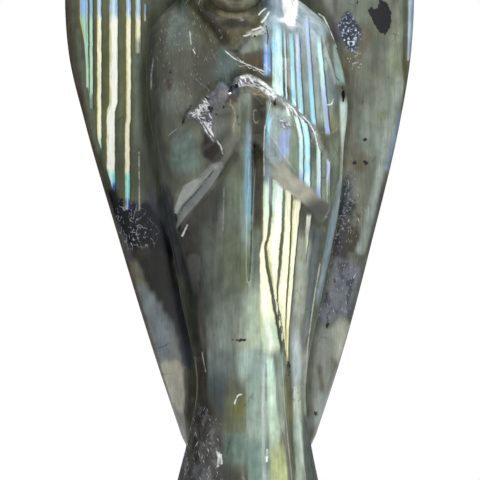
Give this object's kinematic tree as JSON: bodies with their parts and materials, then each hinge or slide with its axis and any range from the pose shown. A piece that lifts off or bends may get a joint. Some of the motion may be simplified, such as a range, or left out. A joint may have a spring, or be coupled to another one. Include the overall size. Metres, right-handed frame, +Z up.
{
  "type": "carved stone angel figurine",
  "caption": "Standing angel with folded wings and praying hands, carved from one piece of polished labradorite, on a flat oval foot.",
  "frame": {"origin": "at the level of the flat foot, under the centre of the whole figure's box", "axes": "+Z up along the figure, -Y the way that the angel faces, +X towards its left hand, which is the viewer's right"},
  "size_m": [0.0424, 0.0188, 0.078],
  "materials": {
    "labradorite": "polished labradorite: grey-green, half translucent, with blue, green and yellow flash in upright stripes and black specks"
  },
  "bodies": {
    "root": {"angel_figurine": "labradorite"}
  },
  "joints": []
}
